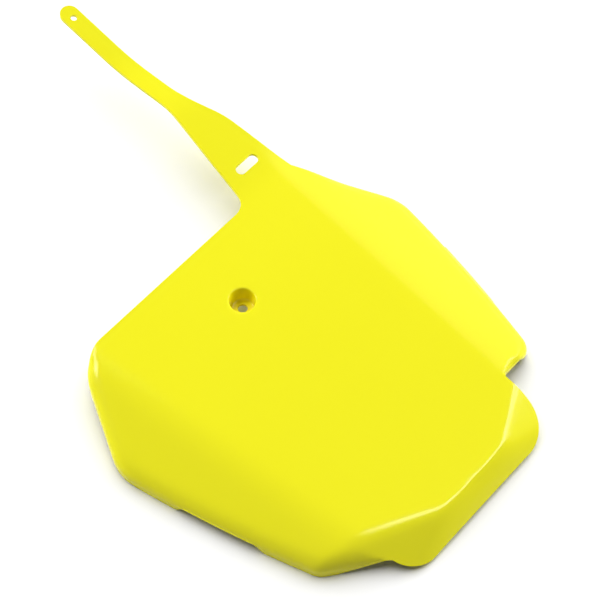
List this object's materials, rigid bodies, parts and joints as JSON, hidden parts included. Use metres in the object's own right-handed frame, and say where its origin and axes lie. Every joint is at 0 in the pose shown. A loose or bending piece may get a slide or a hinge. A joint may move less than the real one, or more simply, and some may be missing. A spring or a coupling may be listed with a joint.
{
  "type": "racing number board",
  "caption": "One-piece moulded front number board for a racing motorbike: flat face with folded wings, rolled lips, faceted chin, sunk screw cup and a long fixing strap.",
  "frame": {"origin": "centre of the screw hole, on the seat of the screw head at the bottom of the sunk cup", "axes": "+X across the board towards the strap's side, +Y up the board towards the tip of the strap, +Z out of the face along the screw"},
  "size_m": [0.2622, 0.431, 0.0508],
  "materials": {
    "board": "glossy moulded yellow polypropylene"
  },
  "bodies": {
    "root": {"number_board": "board"}
  },
  "joints": []
}
